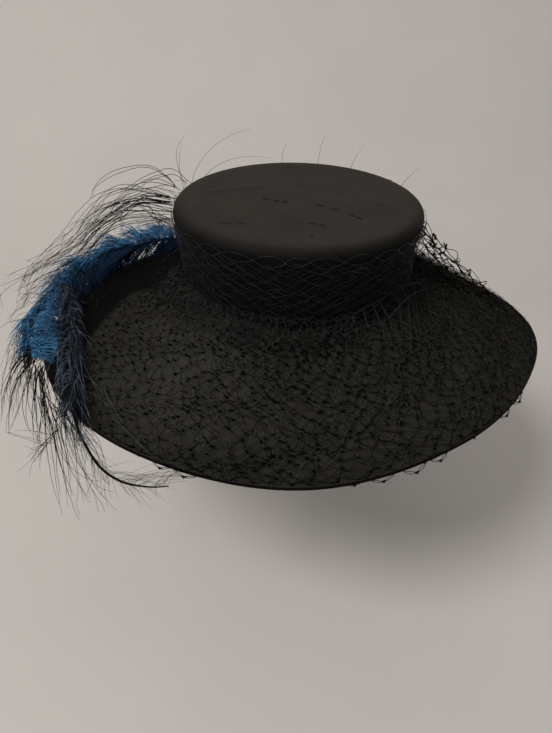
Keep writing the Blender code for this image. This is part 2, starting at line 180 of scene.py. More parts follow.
class Nodes:
    """A material's node tree, with short calls to add nodes and links."""

    def __init__(self, name):
        self.material = bpy.data.materials.new(name)
        self.material.use_nodes = True
        self.tree = self.material.node_tree
        self.shader = self.tree.nodes["Principled BSDF"]

    def add(self, kind, settings=None, **sockets):
        node = self.tree.nodes.new(kind)
        for key, value in (settings or {}).items():
            setattr(node, key, value)
        for key, value in sockets.items():
            self.put(node, key.replace("_", " "), value)
        return node

    def put(self, node, socket, value):
        place = node.inputs[int(socket)] if socket.isdigit() else node.inputs[socket]
        if isinstance(value, bpy.types.NodeSocket):
            self.tree.links.new(value, place)
        else:
            place.default_value = value

    def place(self):
        return self.add("ShaderNodeTexCoord").outputs["Object"]

    def noise(self, scale, detail, stretch=None):
        place = self.place()
        if stretch:
            place = self.add("ShaderNodeMapping", Vector=place, Scale=stretch).outputs[0]
        made = self.add("ShaderNodeTexNoise", Vector=place, Scale=scale, Detail=detail, Roughness=0.55)
        return made.outputs["Fac"]

    def ramp(self, value, stops):
        made = self.add("ShaderNodeValToRGB", Fac=value)
        ramp = made.color_ramp
        while len(ramp.elements) < len(stops):
            ramp.elements.new(0.5)
        for element, (place, colour) in zip(ramp.elements, stops):
            element.position = place
            element.color = (*colour, 1)
        return made.outputs["Color"]

    def shades(self, value, colour, low, dark, high, light):
        """The colour times dark where value is low, up to the colour times light where it is high."""
        return self.ramp(value, ((low, shade(colour, dark)), (high, shade(colour, light))))

    def edge(self, value, low, high):
        """0 below low, 1 above high and smooth between."""
        settings = {"interpolation_type": "SMOOTHSTEP"}
        return self.add("ShaderNodeMapRange", settings, Value=value, From_Min=low, From_Max=high).outputs[0]

    def maths(self, operation, a, b=0.0):
        made = self.add("ShaderNodeMath", {"operation": operation})
        self.put(made, "0", a)
        self.put(made, "1", b)
        return made.outputs[0]

    def far(self, x, y):
        """How far out a point is, from its two coordinates."""
        return self.maths("SQRT", self.maths("ADD", *(self.maths("MULTIPLY", v, v) for v in (x, y))))

    def mixed(self, share, a, b, blend="MIX"):
        made = self.add("ShaderNodeMix", {"data_type": "RGBA", "blend_type": blend})
        self.put(made, "0", share)
        self.put(made, "6", a)
        self.put(made, "7", b)
        return made.outputs[2]

    def bump(self, height, strength, distance, under=None):
        made = self.add("ShaderNodeBump", Height=height, Strength=strength, Distance=distance)
        if under is not None:
            self.put(made, "Normal", under)
        return made.outputs[0]

    def finish(self, **sockets):
        for key, value in sockets.items():
            self.put(self.shader, key.replace("_", " "), value)
        return self.material


def shade(colour, factor):
    return tuple(c * factor for c in colour)


def greys(*stops):
    return [(place, (value, value, value)) for place, value in stops]


def silk(name, colour, roughness=0.62, weft_share=0.15, painted_light_of=None, sheen=0.012, shine=0.03):
    """Matt silk: a cloudy tone, a fine grain, a little of its weft and a weave, times its painted shade
    and highlight where one is given, as a share of the colour."""
    n = Nodes(name)
    tone = n.shades(n.noise(38, 4), colour, 0.3, 0.8, 0.7, 1.2)
    tone = n.mixed(0.5, tone, n.shades(n.noise(620, 2), colour, 0.3, 0.6, 0.7, 1.4))
    weft = n.noise(1.0, 2, (60, 1500, 1500))
    tone = n.mixed(weft_share, tone, n.shades(weft, colour, 0.35, 0.65, 0.65, 1.35))
    if painted_light_of:
        tone = n.mixed(1.0, tone, painted_light_of(n), "MULTIPLY")
    place = n.place()
    threads = [
        n.add("ShaderNodeTexWave", {"bands_direction": way}, Vector=place, Scale=480.0) for way in "XY"
    ]
    weave = n.maths("MULTIPLY", *(thread.outputs["Fac"] for thread in threads))
    bump = n.bump(n.noise(140, 3), 0.25, 0.0008, n.bump(weave, 0.35, 0.0003))
    return n.finish(
        Base_Color=tone, Roughness=roughness, Normal=bump, Sheen_Weight=sheen, Sheen_Roughness=0.4,
        Sheen_Tint=(0.9, 0.86, 0.78, 1), Specular_IOR_Level=shine,
    )


def axes(n):
    split = n.add("ShaderNodeSeparateXYZ", Vector=n.place())
    return split.outputs["X"], split.outputs["Y"]


def brim_painted_light(n):
    """Painted light on the brim's silk: a painted shadow at the back left, behind the feathers, and a
    painted highlight at the front left. It is also a little darker towards the rim."""
    x, y = axes(n)
    left = n.maths("MULTIPLY", x, -1.0)
    # the painted shadow's front edge is cloudy and bends back towards the rim
    cloud = n.maths("MULTIPLY", n.maths("SUBTRACT", n.noise(30, 3), 0.5), 0.03)
    past = n.maths("MAXIMUM", n.maths("SUBTRACT", left, 0.139), 0.0)
    bound = n.maths("MULTIPLY", n.maths("MULTIPLY", past, past), 44.0)
    back = n.edge(n.maths("ADD", n.maths("ADD", y, cloud), bound), -0.04, -0.012)
    # the painted shadow falls behind that edge, towards the left
    dark = n.maths("MULTIPLY", back, n.edge(left, -0.03, 0.05))
    out = n.far(n.maths("DIVIDE", x, BRIM_HALF_WIDTH), n.maths("DIVIDE", y, BRIM_HALF_LENGTH))
    tone = n.mixed(n.edge(out, 0.88, 0.99), (1, 1, 1, 1), (0.8, 0.8, 0.82, 1))
    # the painted highlight, round a point at the front left
    away = n.far(n.maths("SUBTRACT", x, -0.08), n.maths("SUBTRACT", y, -0.125))
    painted_highlight = n.mixed(1.0, tone, (1.36, 1.36, 1.36, 1), "MULTIPLY")
    return n.mixed(dark, n.mixed(n.edge(away, 0.01, 0.09), painted_highlight, tone), (0.19, 0.19, 0.23, 1))


def tip_painted_shade(n):
    """Painted shade: the rolled edge of the tip is darker than its top, more so at the front."""
    x, y = axes(n)
    wide, long = crown_half(CROWN_HEIGHT)
    out = n.far(n.maths("DIVIDE", x, wide), n.maths("DIVIDE", y, long))
    front = greys((0.0, 1), (0.88, 1), (0.94, 0.8), (0.975, 0.45)) + [(1.0, (0.16, 0.16, 0.17))]
    back = greys((0.0, 1), (0.955, 1), (1.0, 0.35))
    return n.mixed(n.edge(y, -0.02, 0.05), n.ramp(out, front), n.ramp(out, back))


def netting(name, colour, roughness, sheen, shine):
    n = Nodes(name)
    return n.finish(
        Base_Color=n.shades(n.noise(220, 2), colour, 0.3, 0.6, 0.7, 1.5), Roughness=roughness,
        Normal=n.bump(n.noise(2600, 1), 0.4, 0.0001), Sheen_Weight=sheen, Sheen_Tint=(0.8, 0.8, 1, 1),
        Specular_IOR_Level=shine,
    )


def feather(name, low, high, roughness=0.5, tint=(0.6, 0.8, 1, 1), shine=0.12):
    n = Nodes(name)
    tone = n.ramp(n.noise(90, 3), ((0.32, low), (0.68, high)))
    tone = n.mixed(1.0, tone, n.ramp(n.noise(1300, 1), greys((0.3, 0.55), (0.7, 1.3))), "MULTIPLY")
    return n.finish(
        Base_Color=tone, Roughness=roughness, Sheen_Weight=0.04, Sheen_Roughness=0.4, Sheen_Tint=tint,
        Normal=n.bump(n.noise(2200, 1), 0.3, 0.0001), Specular_IOR_Level=shine,
    )


def plaster(name, colour):
    n = Nodes(name)
    tone = n.shades(n.noise(3, 4), colour, 0.3, 0.97, 0.7, 1.03)
    return n.finish(Base_Color=tone, Roughness=0.85, Normal=n.bump(n.noise(160, 3), 0.08, 0.001))


# ---- meshes from arrays

def piece(name, points, faces, material, slot=None, replaces=(), stage=False):
    """A mesh object from points (n, 3) and faces (m, 3 or 4), or a list of such groups of faces."""
    mesh = bpy.data.meshes.new(name)
    points = np.asarray(points, np.float32).reshape(-1, 3)
    groups = [np.asarray(f, np.int32) for f in (faces if isinstance(faces, list) else [faces])]
    sizes = np.concatenate([np.full(len(g), g.shape[1], np.int32) for g in groups])
    loops = np.concatenate([g.ravel() for g in groups])
    starts = np.concatenate(([0], np.cumsum(sizes)[:-1])).astype(np.int32)
    mesh.vertices.add(len(points))
    mesh.vertices.foreach_set("co", points.ravel())
    mesh.loops.add(len(loops))
    mesh.loops.foreach_set("vertex_index", loops)
    mesh.polygons.add(len(sizes))
    mesh.polygons.foreach_set("loop_start", starts)
    mesh.polygons.foreach_set("use_smooth", np.ones(len(sizes), bool))
    mesh.update(calc_edges=True)
    mesh.validate()
    mesh.materials.append(material)
    made = bpy.data.objects.new(name, mesh)
    bpy.context.scene.collection.objects.link(made)
    if stage:
        return made
    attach(made, "root")
    if replaces:
        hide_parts(*replaces)
    return made


def grid_faces(rows, columns, wrap_rows, wrap_columns):
    """Quads between the points of a grid, numbered row by row."""
    r = np.arange(rows if wrap_rows else rows - 1)
    c = np.arange(columns if wrap_columns else columns - 1)
    r, c = np.meshgrid(r, c, indexing="ij")
    r2, c2 = (r + 1) % rows, (c + 1) % columns
    quads = np.stack((r * columns + c, r * columns + c2, r2 * columns + c2, r2 * columns + c), -1)
    return quads.reshape(-1, 4)


def unit(v):
    return v / np.maximum(np.linalg.norm(v, axis=-1, keepdims=True), 1e-9)


def tubes(paths, radii, sides=3):
    """Closed thin tubes along paths (n, m, 3), with radii (n, m) or (m,)."""
    paths = np.asarray(paths, float)
    count, steps = paths.shape[:2]
    radii = np.broadcast_to(radii, (count, steps))
    ahead = unit(np.gradient(paths, axis=1))
    mean = unit(paths[:, -1] - paths[:, 0])
    guide = np.cross(mean, (0.31, 0.23, 0.92))
    small = np.linalg.norm(guide, axis=-1, keepdims=True) < 0.2
    guide = np.where(small, np.cross(mean, (0.9, 0.3, 0.1)), guide)
    side = unit(np.cross(ahead, guide[:, None]))
    over = np.cross(ahead, side)
    turn = 2 * np.pi * np.arange(sides) / sides
    ring = side[:, :, None] * np.cos(turn)[:, None] + over[:, :, None] * np.sin(turn)[:, None]
    points = paths[:, :, None] + ring * radii[:, :, None, None]
    base = (np.arange(count) * steps * sides)[:, None]
    quads = grid_faces(steps, sides, False, True)
    body = (base[:, :, None] + quads[None]).reshape(-1, 4)
    fan = np.array([(0, k + 1, k) for k in range(1, sides - 1)])
    last = (steps - 1) * sides
    caps = np.concatenate((fan, last + fan[:, ::-1]))
    caps = (base[:, :, None] + caps[None]).reshape(-1, 3)
    triangles = np.concatenate((body[:, (0, 1, 2)], body[:, (0, 2, 3)], caps))
    return points.reshape(-1, 3), triangles[:, ::-1]


def beads(centres, along, lengths, widths):
    """Small knots: octahedra stretched along a direction."""
    along = unit(along)
    side = unit(np.cross(along, (0.2, 0.1, 0.97)))
    over = np.cross(along, side)
    lengths, widths = np.asarray(lengths)[:, None], np.asarray(widths)[:, None]
    corners = np.stack((along * lengths, side * widths, over * widths, -side * widths, -over * widths,
                        -along * lengths), 1)
    points = centres[:, None] + corners
    faces = np.array([(0, 1, 2), (0, 2, 3), (0, 3, 4), (0, 4, 1), (5, 2, 1), (5, 3, 2), (5, 4, 3),
                      (5, 1, 4)])
    faces = (np.arange(len(centres)) * 6)[:, None, None] + faces[None]
    return points.reshape(-1, 3), faces.reshape(-1, 3)


def joined(*parts):
    """Several (points, triangles) as one."""
    points, faces, base = [], [], 0
    for some_points, some_faces in parts:
        points.append(some_points)
        faces.append(some_faces + base)
        base += len(some_points)
    return np.concatenate(points), np.concatenate(faces)


# ---- the hat's surfaces

def table_value(values, degrees):
    """A smooth value between a table's entries, which go once round."""
    values = np.asarray(values)
    place = np.mod(degrees, 360) / (360 / len(values))
    first = np.floor(place).astype(int)
    t = place - first
    a, b, c, d = (values[(first + k) % len(values)] for k in (-1, 0, 1, 2))
    slope_in, slope_out = (c - a) / 2, (d - b) / 2
    square, cube = 3 * (c - b) - 2 * slope_in - slope_out, 2 * (b - c) + slope_in + slope_out
    return b + t * (slope_in + t * (square + t * cube))


def oval(half_width, half_length, angle, height=0.0):
    x, y = half_width * np.cos(angle), half_length * np.sin(angle)
    return np.stack((x, y, np.broadcast_to(height, x.shape)), -1)


def brim_base(angle, way):
    """Points on the brim's top, at an angle and a way from the collar (0) to the rim (1)."""
    degrees = np.degrees(angle)
    reach, droop = table_value(RIM_REACH, degrees), table_value(RIM_DROOP, degrees)
    inner = oval(HEAD_WIDTH / 2 + COLLAR_WALL, HEAD_LENGTH / 2 + COLLAR_WALL, angle)
    rim = oval(BRIM_HALF_WIDTH * reach, BRIM_HALF_LENGTH * reach, angle)
    point = inner + (rim - inner) * np.asarray(way)[..., None]
    point[..., 2] = -BRIM_DROOP * droop * np.maximum(way, 0) ** BRIM_CURL
    return point


def brim_point(angle, way, lift=0.0):
    """Points lift above the brim's top, and the way up from it there."""
    angle, way = np.broadcast_arrays(np.asarray(angle, float), np.asarray(way, float))
    here = brim_base(angle, way)
    outward = brim_base(angle, way + 0.01) - here
    around = brim_base(angle + 0.01, way) - here
    up = unit(np.cross(outward, around))
    return here + up * np.asarray(lift)[..., None], up


def crown_half(height):
    share = np.minimum(height / (CROWN_HEIGHT - TIP_ROLL), 1)
    out = COLLAR_WALL + SEAT_GAP + CROWN_WALL + TIP_FLARE * share
    return HEAD_WIDTH / 2 + out, HEAD_LENGTH / 2 + out


def crown_point(angle, height, lift=0.0):
    half_width, half_length = crown_half(height)
    return oval(half_width + lift, half_length + lift, angle, height)


def waves(a, b, seed, count):
    """A smooth random value between about -1 and 1 over two coordinates."""
    r = default_rng(seed)
    total = 0
    for _ in range(count):
        fa, fb, phase = np.round(r.uniform(1.0, 4.0)), r.uniform(1.0, 4.0), r.uniform(0, 6.28)
        total = total + np.sin(fa * a + fb * b + phase)
    return total / math.sqrt(count)


def make_brim(material, shaded_edge_material):
    """The brim's skin: collar, top, wired edge and underside, in rings."""
    columns = 320
    angle = 2 * np.pi * np.arange(columns) / columns
    ways = np.concatenate((np.linspace(0.0, 0.06, 4), np.linspace(0.09, 0.975, 54)))
    rows = []

    def raised(point, height):
        return point + (0, 0, height)

    inside = oval(HEAD_WIDTH / 2, HEAD_LENGTH / 2, angle)
    collar, _ = brim_point(angle, 0.0)
    rows += [raised(inside, height) for height in (-BRIM_WALL + 0.0004, 0, COLLAR_HEIGHT - 0.0006)]
    rows += [raised((inside + collar) / 2, COLLAR_HEIGHT), raised(collar, COLLAR_HEIGHT - 0.0006)]
    for way in ways:
        ripple = 0.00035 * waves(angle * 7, way * 9, 5, 7) * min(1.0, way * 6) * min(1.0, (1 - way) * 9)
        rows.append(brim_point(angle, way, ripple)[0])
    rim, up = brim_point(angle, 1.0)
    outward = unit(rim - brim_point(angle, 0.97)[0])
    centre = rim - up * BRIM_WALL / 2
    for degrees in np.linspace(118, -118, 13):
        turn = math.radians(degrees)
        rows.append(centre + (outward * math.cos(turn) + up * math.sin(turn)) * EDGE_WIRE / 2)
    for way in np.linspace(0.975, 0.03, 26):
        rows.append(brim_point(angle, way, -BRIM_WALL)[0])
    made = piece("brim_silk", np.stack(rows), grid_faces(len(rows), columns, True, True), material, "silk",
                 ["brim"])
    made.data.materials.append(shaded_edge_material)
    # the outer and lower part of the wired edge takes a darker copy of the silk: painted shade
    first = 5 + len(ways)
    slots = np.zeros(len(made.data.polygons), np.int32)
    slots[(first + 2) * columns:(first + 12) * columns] = 1
    made.data.polygons.foreach_set("material_index", slots)


def ridge(x, y, line):
    """The height of a soft crease from one point of the tip to another."""
    start, end = np.array(line[:2]), np.array(line[2:])
    length = np.linalg.norm(end - start)
    ahead = (end - start) / length
    along = ((x - start[0]) * ahead[0] + (y - start[1]) * ahead[1]) / length
    aside = (x - start[0]) * ahead[1] - (y - start[1]) * ahead[0]
    height = CREASE_HEIGHT * np.exp(-(aside / CREASE_WIDTH) ** 2)
    return height * np.clip(along * 6, 0, 1) * np.clip((1 - along) * 4, 0, 1)


def dish(out):
    """How deep the tip lies below its edge, at a share of the way out."""
    inside = np.clip((1 - out) / 0.34, 0, 1)
    return TIP_DISH * inside ** 2 * (3 - 2 * inside)


def make_crown(side_material, tip_material):
    """The crown's skin, inner and outer: side, rolled edge and tip, in rings."""
    columns = 300
    angle = 2 * np.pi * np.arange(columns) / columns
    wide, long = crown_half(CROWN_HEIGHT)
    side = CROWN_HEIGHT - TIP_ROLL

    def ring(inset, height, wobble=0.0):
        return oval(wide - inset + wobble, long - inset + wobble, angle, height)

    def wall(skin, heights, wrinkled):
        made = []
        for height in heights:
            inset = TIP_FLARE * (1 - height / side) + skin
            bend = 0.0003 * waves(angle * 5, height * 180, 3, 6) if wrinkled else 0.0
            made.append(ring(inset, max(height, SEAT_GAP), bend))
        return made

    def roll(skin, steps):
        radius = TIP_ROLL - skin
        turns = np.linspace(0, np.pi / 2, steps)[1:]
        top = CROWN_HEIGHT - skin
        return [ring(TIP_ROLL - radius * math.cos(t), top - radius + radius * math.sin(t)) for t in turns]

    def tip(skin, outs, creased):
        made = []
        top = CROWN_HEIGHT - skin
        for out in outs:
            shape = oval((wide - TIP_ROLL) * out, (long - TIP_ROLL) * out, angle, top - dish(out))
            if creased:
                x, y = shape[:, 0], shape[:, 1]
                soft = 0.00018 * waves(x * 22, y * 40, 9, 8) * min(1.0, (1 - out) * 8)
                shape[:, 2] += soft + sum(ridge(x, y, line) for line in TIP_CREASES) * (1 - out ** 8)
            made.append(shape)
        return made

    inner = wall(CROWN_WALL, np.linspace(SEAT_GAP, side, 8), False) + roll(CROWN_WALL, 6)
    inner += tip(CROWN_WALL, np.linspace(0.97, 0.02, 10), False)
    outer = wall(0.0, np.linspace(SEAT_GAP, side, 26), True) + roll(0.0, 12)
    first_tip = len(inner) + 27
    outer += tip(0.0, np.linspace(0.985, 0.012, 44), True)
    rows = inner[::-1] + outer
    points = np.stack(rows)
    faces = grid_faces(len(rows), columns, False, True)
    ends = [np.arange(columns)[::-1][None], (np.arange(columns) + (len(rows) - 1) * columns)[None]]
    made = piece("crown_silk", points, [faces, *ends], side_material, "silk", ["crown"])
    made.data.materials.append(tip_material)
    slots = np.zeros(len(made.data.polygons), np.int32)
    slots[first_tip * columns:] = 1
    slots[-2] = 0
    made.data.polygons.foreach_set("material_index", slots)


def make_slubs(material):
    """A few dark slubs in the weft of the crown's tip, broken into dashes."""
    r = default_rng(21)
    spans = (  # x and y of each end, in mm
        (-30.0, 0.5, -22.5, -2.0), (-20.5, -3.5, -15.5, -5.2), (-13.5, -6.0, -8.5, -8.2),
        (14.0, -14.8, 20.2, -17.3), (25.5, -22.8, 31.2, -26.5), (38.2, -35.0, 42.5, -41.0),
        (43.0, -41.6, 46.8, -46.6), (5.0, -55.4, 11.0, -57.8), (12.0, -58.3, 18.6, -61.6),
        (-60.5, -60.0, -52.0, -59.2), (-49.0, -58.6, -41.5, -57.6), (5.0, 41.2, 7.2, 39.6),
        (4.2, -83.0, 7.2, -84.8), (-79.0, 21.5, -73.5, 30.5), (-11.0, 92.0, 1.0, 90.5),
    )
    faint = (9, 10, 13, 14)
    wide, long = crown_half(CROWN_HEIGHT)
    thickness = np.array((0.08, 0.24, 0.33, 0.36, 0.31, 0.22, 0.08)) * 0.001
    paths, widths = [], []
    for k, (x0, y0, x1, y1) in enumerate(spans):
        t = np.linspace(0, 1, 7)
        x, y = (x0 + (x1 - x0) * t) * 0.001, (y0 + (y1 - y0) * t) * 0.001 + r.normal(0, 0.00012, 7)
        height = CROWN_HEIGHT - dish(np.hypot(x / (wide - TIP_ROLL), y / (long - TIP_ROLL))) + 0.00018
        paths.append(np.stack((x, y, height), -1))
        widths.append(thickness * (0.5 if k in faint else 1.0))
    piece("slub_threads", *tubes(np.array(paths), np.array(widths), 5), material, "silk")


# ---- nets

def bump_at(degrees, centre, half):
    """1 at an angle, falling smoothly to 0 half degrees away."""
    away = np.abs((degrees - centre + 180) % 360 - 180) / half
    return np.cos(np.pi / 2 * np.minimum(away, 1)) ** 2


def staggered(rows, columns):
    """A net's columns as shares of its width, with odd rows half a mesh on."""
    return (np.arange(columns)[None] + 0.5 * (np.arange(rows)[:, None] % 2)) / columns


def strands(knots, closed, radius, knot_length, knot_width, seed, rounded, shown=None, sizes=None):
    """A net's strands and knots from knots (rows, columns, 3), odd rows half a mesh on. Each knot is a
    short bar, and the strands leave its two ends, so the meshes are rounded hexagons. shown says
    which knots there are, and sizes how large each is."""
    r = default_rng(seed)
    rows, columns = knots.shape[:2]
    across = np.roll(knots, -1, 1) - np.roll(knots, 1, 1) if closed else np.gradient(knots, axis=1)
    across = unit(unit(across) + r.normal(0, 0.28, knots.shape))
    sizes = np.ones((rows, columns)) if sizes is None else sizes
    reach = across * knot_length * r.uniform(0.6, 1.3, (rows, columns, 1)) * sizes[..., None]
    shown = np.ones((rows, columns), bool) if shown is None else shown
    starts, ends, scale = [], [], []
    for row in range(rows - 1):
        shift = row % 2
        for other, side in ((shift - 1, -1), (shift, 1)):
            here = np.arange(columns)
            there = here + other
            if not closed:
                inside = (there >= 0) & (there < columns)
                here, there = here[inside], there[inside]
            there = there % columns
            both = shown[row, here] & shown[row + 1, there]
            here, there = here[both], there[both]
            scale.append(sizes[row, here])
            starts.append(knots[row, here] + side * reach[row, here])
            ends.append(knots[row + 1, there] - side * reach[row + 1, there])
    starts, ends = np.concatenate(starts), np.concatenate(ends)
    t = np.linspace(0, 1, 5)[None, :, None]
    path = starts[:, None] * (1 - t) + ends[:, None] * t
    length = np.linalg.norm(ends - starts, axis=-1)
    bow = r.normal(0, rounded, (len(starts), 1, 3)) * length[:, None, None]
    path += bow * 4 * t * (1 - t)
    thick = radius * r.uniform(0.75, 1.25, (len(starts), 1)) * np.concatenate(scale)[:, None]
    flat = knots[shown]
    size = r.uniform(0.55, 1.3, len(flat)) * sizes[shown]
    ties = beads(flat, reach[shown], knot_length * size, knot_width * size)
    return joined(tubes(path, thick), ties)


def make_brim_net(name, material, seed, columns, rows, lift, swell, first):
    """One layer of net over the brim, gathered at the crown. It swells up at the back right by a share
    of the pouf, and comes just past the rim in three places. first is its left end in degrees."""
    r = default_rng(seed)
    way = np.linspace(0.05, 1.03, rows)[:, None]
    column = staggered(rows, columns)
    angle = np.radians(first + (NET_END - first) * column)
    angle = angle + 0.034 * waves(angle * 2, way * 6, seed, 8) + r.normal(0, 0.008, angle.shape)
    way = way + 0.03 * waves(angle * 3, way * 5, seed + 1, 8) + r.normal(0, 0.01, angle.shape)
    degrees = np.degrees(angle)
    past = 0.02 * (bump_at(degrees, -110, 11) + bump_at(degrees, -71, 13) + bump_at(degrees, -40, 12))
    way = np.clip(way, 0.02, 0.992 + past)
    high = lift + 0.0007 * (1 + waves(angle * 9, way * 20, seed + 2, 6))
    high = high + np.abs(r.normal(0, 0.0004, angle.shape))
    high = high * np.interp(way, (0.93, 1.0), (1.0, 0.3))
    rise = np.interp(way, (0.03, 0.12, 0.3, 0.57, 0.8, 0.95), (0.6, 1.0, 0.8, 0.42, 0.1, 0))
    swelling = POUF_HEIGHT * swell * rise * bump_at(degrees, POUF_ANGLE, POUF_SPREAD)
    high = high + swelling * r.uniform(0.85, 1.05, angle.shape)
    points, _ = brim_point(angle, np.minimum(way, 1.0), high)
    over = np.maximum(way - 1.0, 0)[..., None]
    points = points + over * np.array((0, 0, -0.06)) + over * 0.16 * unit(points * (1, 1, 0))
    left = np.interp(way, (0.0, 0.5, 0.72, 0.9, 1.0), (first, -168, -154, -141, -130))
    soft = np.interp(degrees, (-80, -35, -5, 15), (1.0, 0.82, 0.82, 0.5))
    made = strands(points, False, NET_STRAND, *NET_KNOT, seed, 0.12, degrees > left, soft)
    return piece(name, *made, material, "net")


def make_pouf(name, material, seed, scale, columns, rows, last):
    """The net that stands up at the back right, between the crown and the rim, with bold knots."""
    r = default_rng(seed)
    way = np.linspace(0.02, last, rows)[:, None]
    column = staggered(rows, columns)
    angle = np.radians(-2 + 76 * column) + 0.02 * waves(column * 12, way * 9, seed, 6)
    angle = angle + r.normal(0, 0.006, angle.shape)
    way = way + r.normal(0, 0.009, angle.shape) + 0.015 * waves(column * 9, way * 8, seed + 1, 6)
    way = np.clip(way, 0.01, 0.95)
    rise = np.interp(way, (0.02, 0.1, 0.3, 0.57, 0.8, 0.95), (0.84, 1.0, 0.68, 0.38, 0.15, 0.02))
    wobble = 1 + 0.1 * waves(column * 14, way * 14, seed + 2, 6)
    rise = rise * wobble * bump_at(np.degrees(angle), POUF_ANGLE, POUF_SPREAD)
    points, _ = brim_point(angle, way, 0.0012 + POUF_HEIGHT * scale * rise)
    piece(name, *strands(points, False, POUF_STRAND, *POUF_KNOT, seed, 0.15), material, "net")


def make_crown_net(name, material, seed, columns, sag, lift, top):
    """One layer of net round the crown's side, whose strands run down towards the front."""
    r = default_rng(seed)
    rows = 12
    share = np.linspace(top, 0.04, rows)[:, None]
    column = staggered(rows, columns)
    angle = 2 * np.pi * column + 0.04 * waves(2 * np.pi * column, share * 3, seed, 5)
    angle = angle - sag * (1 - share) * np.sin(angle + np.pi / 2)
    height = CROWN_HEIGHT * share * (1 + 0.03 * waves(2 * np.pi * column * 2, share * 2, seed + 1, 5))
    height = height + r.normal(0, 0.0007, angle.shape)
    height = np.clip(height, 0.0015, CROWN_HEIGHT * 0.96)
    out = lift + 0.0006 * (1 + waves(angle * 4, height * 90, seed + 2, 5)) + 0.003 * (1 - share) ** 2
    points = crown_point(angle, height, out)
    return piece(name, *strands(points, True, NET_STRAND, *CROWN_KNOT, seed, 0.06), material, "net")


def make_top_arcs(material):
    """The crown net's upper edge: long arcs between knots, and loose strands down from them."""
    r = default_rng(17)
    count = 29
    knots = 2 * np.pi * (np.arange(count) + r.normal(0, 0.14, count)) / count
    level = CROWN_HEIGHT * (0.865 + 0.02 * np.sin(3 * knots) + r.normal(0, 0.01, count))
    t = np.linspace(0, 1, 9)
    arcs, falls = [], []
    for k in range(count):
        a, b = knots[k], knots[(k + 1) % count] + (2 * np.pi if k == count - 1 else 0)
        line = level[k] * (1 - t) + level[(k + 1) % count] * t
        for bow in (r.uniform(0.0025, 0.0045), -r.uniform(0.003, 0.005)):
            height = np.minimum(line + bow * 4 * t * (1 - t), CROWN_HEIGHT - TIP_ROLL * 0.5)
            arcs.append(crown_point(a + (b - a) * t, height, 0.0018))
        for side in (-1, 1):
            turn = side * (b - a) * r.uniform(0.6, 1.0)
            height = level[k] - r.uniform(0.01, 0.016) * t
            falls.append(crown_point(a + turn * t, height, 0.0016))
    centres = crown_point(knots, level, 0.002)
    along = np.roll(centres, 1, 0) - np.roll(centres, -1, 0)
    ties = beads(centres, along, np.full(count, 0.0013), np.full(count, 0.0008))
    made = joined(tubes(np.array(arcs), 0.00017, 4), tubes(np.array(falls), 0.00014, 4), ties)
    piece("crown_net_edge", *made, material, "net")


def make_fold(name, material, seed, columns, scale, first=-176.0, last=NET_END, radius=FOLD_STRAND):
    """The net's gathered fold round the crown's foot: it stands up from the brim, turns over and
    lies down on the brim's net."""
    r = default_rng(seed)
    ways = np.array((0.03, 0.055, 0.09, 0.13, 0.17, 0.22))
    lifts = np.array((0.0045, 0.0105, 0.012, 0.009, 0.0045, 0.0012))
    rows = len(ways)
    column = staggered(rows, columns)
    angle = np.radians(first + (last - first) * column)
    size = np.clip(scale * (1 + 0.22 * waves(angle * 4, 0, seed, 5)), 0.4, 1.5)
    way = ways[:, None] * size + r.normal(0, 0.006, angle.shape)
    high = lifts[:, None] * size + np.abs(r.normal(0, 0.0008, angle.shape)) + 0.0008
    angle = angle + r.normal(0, 0.008, angle.shape)
    points, _ = brim_point(angle, np.clip(way, 0.012, 1), high)
    piece(name, *strands(points, False, radius, *FOLD_KNOT, seed, 0.18), material, "net")


def make_ladder(name, material, count, rows, seed, radius):
    """On the right the fold's doubled edge shows as a ladder: long strands with ribs between them.
    rows give each long strand's angles, ways and lifts over the brim."""
    r = default_rng(seed)
    share = (np.arange(count) + r.normal(0, 0.1, count)) / (count - 1)
    places = []
    for angles, ways, lifts in rows:
        at = np.linspace(0, 1, len(angles))
        places.append(np.stack([np.interp(share, at, values) for values in (angles, ways, lifts)], -1))
    places = np.array(places) + r.normal(0, 1, (len(rows), count, 3)) * (0.4, 0.003, 0.0004)
    knots = brim_point(np.radians(places[..., 0]), places[..., 1], places[..., 2])[0]
    ribs = np.array([smooth_line(knots[:, k], 12) for k in range(count)])
    rungs = np.array([smooth_line(row, 4 * count) for row in knots])
    flat = knots.reshape(-1, 3)
    ties = beads(flat, r.normal(0, 1, flat.shape), np.full(len(flat), 0.0008), np.full(len(flat), 0.0005))
    piece(name, *joined(tubes(ribs, radius, 4), tubes(rungs, radius, 4), ties), material, "net")


def make_loose_threads(material, count):
    """Fine grey threads that stand out of the brim's net, mostly at the front."""
    r = default_rng(47)
    angle = np.radians(r.normal(-80, 42, count))
    way = r.uniform(0.15, 0.96, count)
    turn, length = r.uniform(0, 6.28, count), r.uniform(0.006, 0.02, count)
    t = np.linspace(0, 1, 7)[None, :]
    bend = r.normal(0, 1.0, (count, 1))
    heading = turn[:, None] + bend * t
    step = length[:, None] / 7
    angles = angle[:, None] + np.cumsum(np.cos(heading) * step, 1) / 0.17
    ways = way[:, None] + np.cumsum(np.sin(heading) * step, 1) / 0.12
    lift = 0.0012 + 0.0022 * np.sin(np.pi * t) * r.random((count, 1))
    path = brim_point(angles, np.clip(ways, 0.05, 0.985), lift)[0]
    piece("loose_threads", *tubes(path, np.linspace(0.00014, 0.00008, 7)), material, "net")


